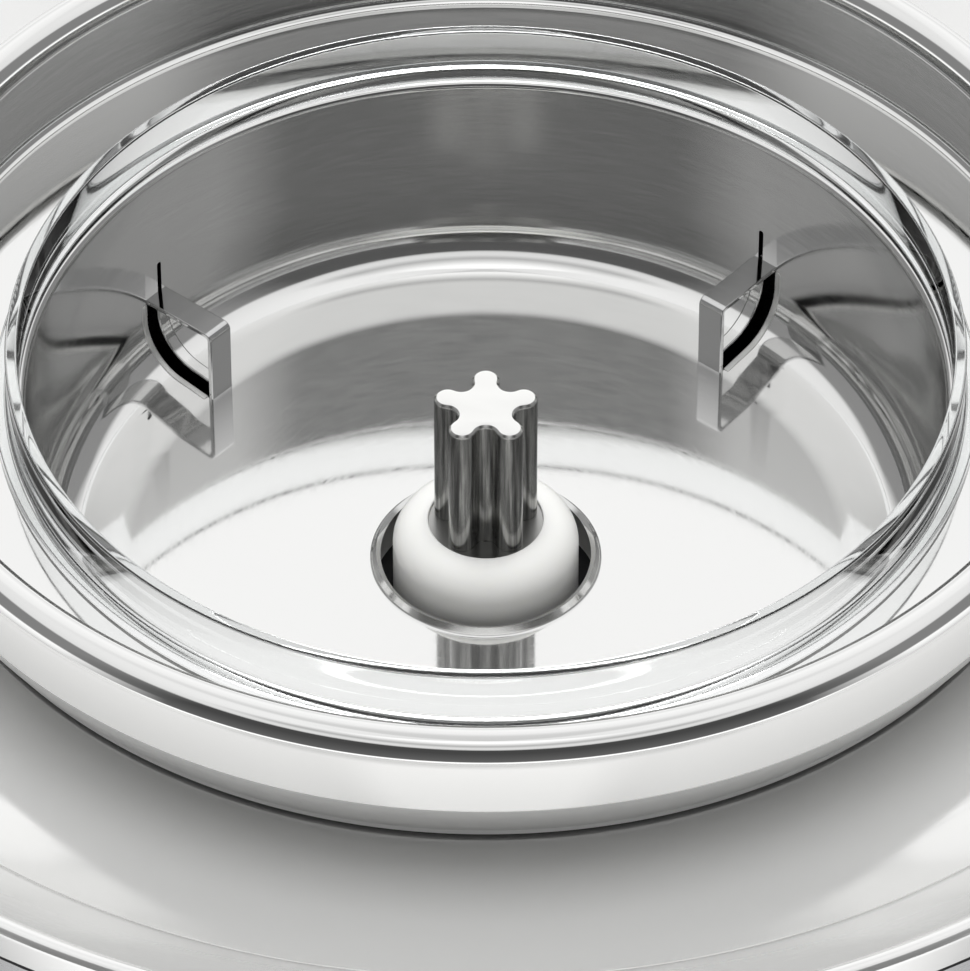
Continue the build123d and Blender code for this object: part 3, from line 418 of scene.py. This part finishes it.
deck_plane = 150 * MM
deck_sheet = 1.2 * MM
dish_start, dish_end, dish_bend = 113.5 * MM, 168 * MM, 128 * MM
edge_bend = 2 * MM
skirt_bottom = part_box("deck_gasket")[1].z
groove_radius, groove_half, groove_depth = 154 * MM, 0.95 * MM, 0.4 * MM


def dish_arc(first, last, steps):
    """Points of the dish between two radii."""
    turns = [degrees(asin((radius - dish_start) / dish_bend)) - 90 for radius in (first, last)]
    return arc((dish_start, deck_plane + dish_bend), dish_bend, *turns, steps)


inner_dish = dish_arc(dish_start, groove_radius - groove_half, 40)
outer_dish = dish_arc(groove_radius + groove_half, dish_end, 16)
edge_turn = asin((dish_end - dish_start) / dish_bend)
edge_centre = (dish_end + edge_bend * sin(edge_turn), outer_dish[-1][1] - edge_bend * cos(edge_turn))
deck_line = [(92 * MM, deck_plane)] + inner_dish
deck_line += [(r, z - groove_depth) for r, z in (inner_dish[-1], outer_dish[0])]
deck_line += outer_dish + arc(edge_centre, edge_bend, 90 + degrees(edge_turn), 0)
deck_line += [(edge_centre[0] + edge_bend, skirt_bottom)]
deck = spin_piece("dished_deck", sheet_outline(deck_line, deck_sheet))
place_piece(deck, "base", "polished_steel", polished, "top_deck")

# Collar
# A stainless ring standing on the deck: a rolled bead, a polished wall that draws in downwards, and a belly that
# was left satin where the polishing wheel doesn't reach.
collar_low, collar_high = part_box("collar")
bead_radius = 4.45 * MM
bead_middle = collar_high.z - bead_radius
bead_centre = (collar_high.x - collar_low.x) / 2 - bead_radius
belly_top = (119.9 * MM, 164.2 * MM)
collar_foot = (112.7 * MM, 151.8 * MM)
across, down = belly_top[0] - bead_centre, belly_top[1] - bead_middle
touch = degrees(atan2(down, across) + acos(bead_radius / hypot(across, down)))
belly_lean = radians(20)
chord = Vector(collar_foot) - Vector(belly_top)
belly_side = Vector((-cos(belly_lean), sin(belly_lean)))
belly_bend = chord.length_squared / (2 * chord.dot(belly_side))
belly_centre = Vector(belly_top) + belly_side * belly_bend
belly_turns = [degrees(atan2(z - belly_centre.y, r - belly_centre.x)) for r, z in (belly_top, collar_foot)]
collar_line = arc((bead_centre, bead_middle), bead_radius, 188, touch, 60)
collar_line += arc(belly_centre, belly_bend, *belly_turns, 24)
collar_line += [(collar_foot[0], deck_plane + 0.8 * MM)]
collar = spin_piece("rolled_collar", sheet_outline(collar_line, 1.0 * MM))
# A clear mirror on the bead and wall; below the belly's top edge it turns rough and pale within 0.4 mm.
collar_steel, tree, shader = new_material("polished_and_satin_stainless", Base_Color=steel_white, Metallic=1.0)
satin_line = {"From Min": belly_top[1] - 0.2 * MM, "From Max": belly_top[1] + 0.2 * MM}
uneven, parts = polish(tree, shader, 0.8 * MM, 0.0004 * MM, 0.04, 0.08)
blasted = add_node(tree, "ShaderNodeMapRange", {**satin_line, "To Min": 0.36, "To Max": 0.0},
                   Value=parts.outputs["Z"])
satin = add_node(tree, "ShaderNodeMath", {"operation": "ADD"}, _0=uneven.outputs["Result"],
                 _1=blasted.outputs["Result"])
tree.links.new(satin.outputs["Value"], shader.inputs["Roughness"])
matt = add_node(tree, "ShaderNodeMapRange", {**satin_line, "To Min": 0.5, "To Max": 1.0}, Value=parts.outputs["Z"])
tree.links.new(matt.outputs["Result"], shader.inputs["Metallic"])
place_piece(collar, "base", "polished_steel", collar_steel, "collar")

# Bowl seat
# One deep stainless pressing: a brim tucked up inside the bead, a flat shelf, a straight brushed well and a flat
# floor with a raised lip round the hole for the spindle boss. Two bridge tabs are lanced out of the well's back
# wall; the windows they leave have a rolled front edge and a lip drawn in from their back edge.
shelf_top = 158 * MM
brim_radius = 114.5 * MM
well_radius = 88.4 * MM
bowl_sheet = 1.0 * MM
floor_top = shelf_top - 46 * MM
hole_radius = 21.5 * MM
bowl_line = bend_line(
    [
        (hole_radius, floor_top + 1.6 * MM),
        (hole_radius + 0.9 * MM, floor_top),
        (well_radius - 17.4 * MM, floor_top),
        (well_radius, floor_top + 1.2 * MM),
        (well_radius, shelf_top),
        (brim_radius, shelf_top),
        (brim_radius, bead_middle + 1.1 * MM),
    ],
    [0.8 * MM, 40 * MM, 10 * MM, 1.4 * MM, 2.5 * MM],
    20,
)
bowl = spin_piece("bowl_seat", sheet_outline(bowl_line, bowl_sheet))
tab_width = 5.8 * MM
tab_end = well_radius - 17.8 * MM
tab_root = shelf_top - 29.8 * MM
relief_half = 0.55 * MM
window = [(tab_end, floor_top - 2 * bowl_sheet), (well_radius + 2 * bowl_sheet, floor_top - 2 * bowl_sheet),
          (well_radius + 2 * bowl_sheet, tab_root), (tab_end, tab_root)]
relief_top = tab_root + 7.5 * MM - relief_half
tab_line = bend_line(
    [
        (tab_end, floor_top - bowl_sheet),
        (tab_end, tab_root + 0.8 * MM),
        (well_radius + bowl_sheet, tab_root),
    ],
    [1.6 * MM],
)
# Polishing rings 0.7 mm apart. The well's wall and the brim are duller, so that they blur what they mirror, and the
# floor is a clear mirror under a slight haze.
bowl_steel, tree, shader = new_material("pressed_stainless_brushed_in_the_well", Base_Color=steel_white, Metallic=1.0)
uneven, parts = polish(tree, shader, 0.7 * MM, 0.0009 * MM, 0.03, 0.09)
foot_band = {"From Min": floor_top + 4 * MM, "From Max": floor_top + 10 * MM}
head_band = {"From Min": shelf_top - 2 * MM, "From Max": shelf_top - 1 * MM}
brim_band = {"From Min": shelf_top + 2 * MM, "From Max": shelf_top + 4 * MM}
wall_foot = add_node(tree, "ShaderNodeMapRange", {**foot_band, "To Min": 0.0, "To Max": 0.07},
                     Value=parts.outputs["Z"])
wall_head = add_node(tree, "ShaderNodeMapRange", {**head_band, "To Min": 1.0, "To Max": 0.0},
                     Value=parts.outputs["Z"])
wall = add_node(tree, "ShaderNodeMath", {"operation": "MULTIPLY"}, _0=wall_foot.outputs["Result"],
                _1=wall_head.outputs["Result"])
brim = add_node(tree, "ShaderNodeMapRange", {**brim_band, "To Min": 0.0, "To Max": 0.16}, Value=parts.outputs["Z"])
dulled = add_node(tree, "ShaderNodeMath", {"operation": "ADD"}, _0=wall.outputs["Value"], _1=brim.outputs["Result"])
brush = add_node(tree, "ShaderNodeMath", {"operation": "ADD"}, _0=uneven.outputs["Result"],
                 _1=dulled.outputs["Value"])
tree.links.new(brush.outputs["Value"], shader.inputs["Roughness"])
haze = add_node(tree, "ShaderNodeMapRange", {**foot_band, "To Min": 0.93, "To Max": 1.0}, Value=parts.outputs["Z"])
tree.links.new(haze.outputs["Result"], shader.inputs["Metallic"])
# The tabs keep a fine 0.5 mm shearing grain; the window edges are painted pale as a painted highlight.
lanced, tree, shader = new_material("lanced_stainless_strip", Base_Color=linear("#dcdcdc"), Metallic=1.0)
grain(tree, shader, 0.5 * MM, 0.002 * MM, 0.07)
# Painted highlight: the windows' rolled front edges get a pale, part-diffuse colour.
edge_painted_highlight, tree, shader = new_material("sheared_edge_painted_highlight", Base_Color=linear("#ececea"), Metallic=0.6)
grain(tree, shader, 0.5 * MM, 0.004 * MM, 0.35)
window_line = [(tab_end + 1.2 * MM, floor_top)] + bowl_line[43:64] + [(well_radius, tab_root - 1.2 * MM)]
rolled_edge = sheet_outline(sheet_outline(window_line, -0.25 * MM)[:len(window_line) - 1:-1], 0.8 * MM)


def soften(piece, width):
    """Rounds the sharp edges of a piece."""
    bevel = piece.modifiers.new("soften", "BEVEL")
    bevel.width = width
    bevel.segments = 3
    bevel.limit_method = "ANGLE"
    bpy.ops.object.modifier_apply(modifier=bevel.name)


for side, tab_angle, relief_side in (("left", 138.3, -1.2 * MM), ("right", 50.6, 1.2 * MM)):
    turn = radians(tab_angle)
    relief = arc((relief_side, relief_top), relief_half, 0, 180)
    relief += [(relief_side - relief_half, tab_root - MM), (relief_side + relief_half, tab_root - MM)]
    cut_out(bowl, bar_piece("window", window, tab_width, turn))
    cut_out(bowl, spoke_piece("relief", relief, well_radius - 3 * MM, well_radius + 3 * MM, turn))
    tab = bar_piece("bridge_tab_" + side, sheet_outline(tab_line, bowl_sheet), tab_width, turn)
    soften(tab, 0.2 * MM)
    place_piece(tab, "base", "polished_steel", lanced)
    outward = 1 if side == "left" else -1
    front_place = outward * (tab_width / 2 + 0.4 * MM)
    # The rolled front edge carries the painted highlight colour.
    rolled = bar_piece("window_edge_front_" + side, rolled_edge, 1.4 * MM, turn, front_place)
    soften(rolled, 0.35 * MM)
    place_piece(rolled, "base", "polished_steel", edge_painted_highlight)
    back_place = -outward * (tab_width / 2 - 1.2 * MM)
    drawn = bar_piece("window_edge_back_" + side, rolled_edge, 2.8 * MM, turn, back_place)
    soften(drawn, 0.35 * MM)
    place_piece(drawn, "base", "polished_steel", bowl_steel)
place_piece(bowl, "base", "polished_steel", bowl_steel, "well_bowl")

# Clear ring
# A loose ring of clear moulded plastic that stands on the shelf on a small foot and keeps drips off the motor.
# It is glossy and shows mostly as bright and dark lines at its edges.
acrylic, tree, shader = new_material("clear_moulded_plastic", Base_Color=linear("#fdfefe"), Roughness=0.02,
                                     IOR=1.49)
shader.inputs["Transmission Weight"].default_value = 1.0
ring_bore = well_radius + 1.1 * MM
ring_outer = ring_bore + 2.4 * MM
ring_foot_top = shelf_top + 1.6 * MM
ring_foot_outer = ring_outer + 2.6 * MM
ring_line = bend_line(
    [
        (ring_bore, shelf_top),
        (ring_bore, ring_top),
        (ring_outer, ring_top),
        (ring_outer, ring_foot_top),
        (ring_foot_outer, ring_foot_top),
        (ring_foot_outer, shelf_top),
    ],
    [0.5 * MM, 0.5 * MM, 0.6 * MM, 0.4 * MM],
    6,
)
ring = spin_piece("clear_ring_piece", ring_line)
place_piece(ring, "ring", "clear_plastic", acrylic, "clear_ring")

# Spindle boss and wear washer
# A turned white acetal boss with a rounded shoulder, screwed down on the gearbox through the floor's hole. A thin
# steel washer lies in its top, under the star, and is scuffed by it.
boss_low, boss_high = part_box("spindle_boss")
boss_radius = 18.2 * MM
boss_bore = 7 * MM
recess_radius, recess_floor = 11.2 * MM, boss_high.z - 1.4 * MM
boss_line = bend_line(
    [
        (boss_bore, boss_low.z),
        (boss_radius, boss_low.z),
        (boss_radius, boss_high.z),
        (recess_radius, boss_high.z),
        (recess_radius, recess_floor),
        (boss_bore, recess_floor),
    ],
    [0.3 * MM, 6.4 * MM, 0.3 * MM, 0.3 * MM],
    16,
)
boss = spin_piece("acetal_boss", boss_line, 160)
place_piece(boss, "base", "white_plastic", acetal, "spindle_boss")
scuffed, tree, shader = new_material("scuffed_steel_washer", Base_Color=linear("#b8b8b6"), Metallic=1.0)
grain(tree, shader, 2.2 * MM, 0.05 * MM, 0.3)
dress(scuffed, "wear_washer")

# Star spindle
# A bar drawn to a five-lobed star that drives the removable bowl, with painted shade on its sides and a painted
# highlight on its end, above a round shaft that goes down through the boss.
star_lobes = 5
star_tip, star_valley, lobe_radius = 10.4 * MM, 5.9 * MM, 2.7 * MM
star_low, star_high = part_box("wear_washer")[1].z + 0.05 * MM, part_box("spindle")[1].z
lobe_reach = star_tip - lobe_radius
half_step = pi / star_lobes
shortfall = lobe_radius - star_valley
hollow_reach = (lobe_reach**2 - shortfall**2) / (2 * (shortfall + lobe_reach * cos(half_step)))
hollow_radius = hollow_reach - star_valley
gap_angle = atan2(hollow_reach * sin(half_step), hollow_reach * cos(half_step) - lobe_reach)
star_outline = []
for i in range(star_lobes):
    middle = pi / 2 + 2 * half_step * i
    lobe_centre = (lobe_reach * cos(middle), lobe_reach * sin(middle))
    hollow_centre = (hollow_reach * cos(middle + half_step), hollow_reach * sin(middle + half_step))
    lobe_turns = degrees(middle - gap_angle), degrees(middle + gap_angle)
    star_outline += arc(lobe_centre, lobe_radius, *lobe_turns, 14)
    start = middle + gap_angle + pi
    sweep = 2 * (gap_angle - half_step)
    star_outline += arc(hollow_centre, hollow_radius, degrees(start), degrees(start - sweep), 14)[1:-1]
bpy.ops.object.select_all(action="DESELECT")
bpy.ops.mesh.primitive_circle_add(vertices=len(star_outline), radius=star_tip, fill_type="NGON",
                                  location=(spindle_x, spindle_y, 0))
star = bpy.context.object
star.name = "star_spindle"
for vertex, (x, y) in zip(star.data.vertices, star_outline):
    vertex.co = (x, y, star_low)
bpy.ops.object.mode_set(mode="EDIT")
bpy.ops.mesh.select_all(action="SELECT")
bpy.ops.mesh.extrude_region_move(TRANSFORM_OT_translate={"value": (0, 0, star_high - star_low)})
bpy.ops.mesh.bevel(offset=1.1 * MM, segments=3, profile=0.6)
close_mesh(star)
shaft_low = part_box("spindle")[0].z
shaft_radius = 6 * MM
shaft_core, shaft_chamfer = 0.1 * MM, 0.5 * MM
shaft_outline = [(shaft_core, shaft_low), (shaft_radius - shaft_chamfer, shaft_low),
                 (shaft_radius, shaft_low + shaft_chamfer), (shaft_radius, star_low), (shaft_core, star_low)]
shaft = spin_piece("shaft", shaft_outline, 96)
bpy.ops.object.select_all(action="DESELECT")
shaft.select_set(True)
star.select_set(True)
bpy.context.view_layer.objects.active = star
bpy.ops.object.join()
# Die lines run up the drawn sides, 0.7 mm apart, as streaks; the sides' dark colour is painted shade.
alloy_painted_light, tree, shader = new_material("drawn_alloy_with_painted_shade_and_highlight", Metallic=1.0)
place = add_node(tree, "ShaderNodeTexCoord")
stretch = add_node(tree, "ShaderNodeMapping", {"Scale": (1.0, 1.0, 0.04)}, Vector=place.outputs["Object"])
streaks = add_node(tree, "ShaderNodeTexNoise", {"Scale": 1 / (0.7 * MM), "Detail": 3.0},
                   Vector=stretch.outputs["Vector"])
# Painted shade: the sides' colour runs from dark to mid grey along the die lines.
die_lines_and_painted_shade = add_node(tree, "ShaderNodeValToRGB", Fac=streaks.outputs["Fac"])
for element, (position, colour) in zip(die_lines_and_painted_shade.color_ramp.elements, ((0.35, "#5c5c5b"), (0.65, "#a3a3a1"))):
    element.position = position
    element.color = linear(colour)
height = add_node(tree, "ShaderNodeSeparateXYZ", Vector=place.outputs["Object"])
# Painted highlight: the top 0.9 mm of the star is painted near white and made smoother.
painted_top_highlight = add_node(tree, "ShaderNodeMapRange",
                {"From Min": star_high - 0.9 * MM, "From Max": star_high - 0.2 * MM}, Value=height.outputs["Z"])
surface = add_node(tree, "ShaderNodeMix", {"data_type": "RGBA", "7": linear("#f4f4f2")},
                   _0=painted_top_highlight.outputs["Result"], _6=die_lines_and_painted_shade.outputs["Color"])
tree.links.new(surface.outputs[2], shader.inputs["Base Color"])
finish = add_node(tree, "ShaderNodeMapRange", {"To Min": 0.2, "To Max": 0.1}, Value=painted_top_highlight.outputs["Result"])
tree.links.new(finish.outputs["Result"], shader.inputs["Roughness"])
place_piece(star, "spindle", "machined_alloy", alloy_painted_light, "spindle")

# Control panel, knob, switch, lamp and mains inlet
# Fine-grained black mouldings that stand a little proud of the drum: a timer knob with a white pointer, a power
# rocker and an amber lamp at the front, and the mains inlet at the back.
panel_abs, tree, shader = new_material("spark_grained_black_abs", Base_Color=linear("#2a2a2c"))
grain(tree, shader, 0.6 * MM, 0.04 * MM, 0.55)
dress(panel_abs, "control_panel", "switch_body", "inlet_housing")
knob_abs, tree, shader = new_material("satin_black_abs", Base_Color=linear("#1c1c1e"))
grain(tree, shader, 0.9 * MM, 0.01 * MM, 0.35)
dress(knob_abs, "timer_knob", "power_rocker")
lens, tree, shader = new_material("amber_acrylic_lens", Base_Color=linear("#d8862c"), IOR=1.49)
shader.inputs["Transmission Weight"].default_value = 0.5
grain(tree, shader, 1.2 * MM, 0.02 * MM, 0.15)
dress(lens, "pilot_lamp")


def block(low, high):
    """A plain block between two corners, for printed marks and inlays too thin to show a shape."""
    bpy.ops.object.select_all(action="DESELECT")
    bpy.ops.mesh.primitive_cube_add(size=1)
    piece = bpy.context.object
    piece.scale = Vector(high) - Vector(low)
    piece.location = (Vector(high) + Vector(low)) / 2
    bpy.ops.object.transform_apply(location=True, rotation=True, scale=True)
    return piece


white_ink, tree, shader = new_material("white_pad_print", Base_Color=linear("#e9e9e6"))
grain(tree, shader, 0.3 * MM, 0.005 * MM, 0.6)
panel_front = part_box("control_panel")[0].y
knob_low, knob_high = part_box("timer_knob")
dial_middle = (knob_low.z + knob_high.z) / 2
pointer = block((-0.75 * MM, knob_low.y + 0.2 * MM, dial_middle + 1.7 * MM),
                (0.75 * MM, knob_low.y + 0.8 * MM, dial_middle + 15.3 * MM))
pointer.name = "pointer_inlay"
place_piece(pointer, "knob", "white_plastic", white_ink)
dial_marks = []
for i in range(11):
    mark = block((-0.3 * MM, panel_front - 0.08 * MM, 22.2 * MM), (0.3 * MM, panel_front, 24.8 * MM))
    mark.rotation_euler.y = radians(30 * i)
    mark.location.z = dial_middle
    bpy.ops.object.transform_apply(location=True, rotation=True, scale=True)
    dial_marks.append(mark)
bpy.ops.object.select_all(action="DESELECT")
for mark in dial_marks:
    mark.select_set(True)
bpy.context.view_layer.objects.active = dial_marks[0]
bpy.ops.object.join()
dial_marks[0].name = "dial_marks"
place_piece(dial_marks[0], "base", "white_plastic", white_ink)
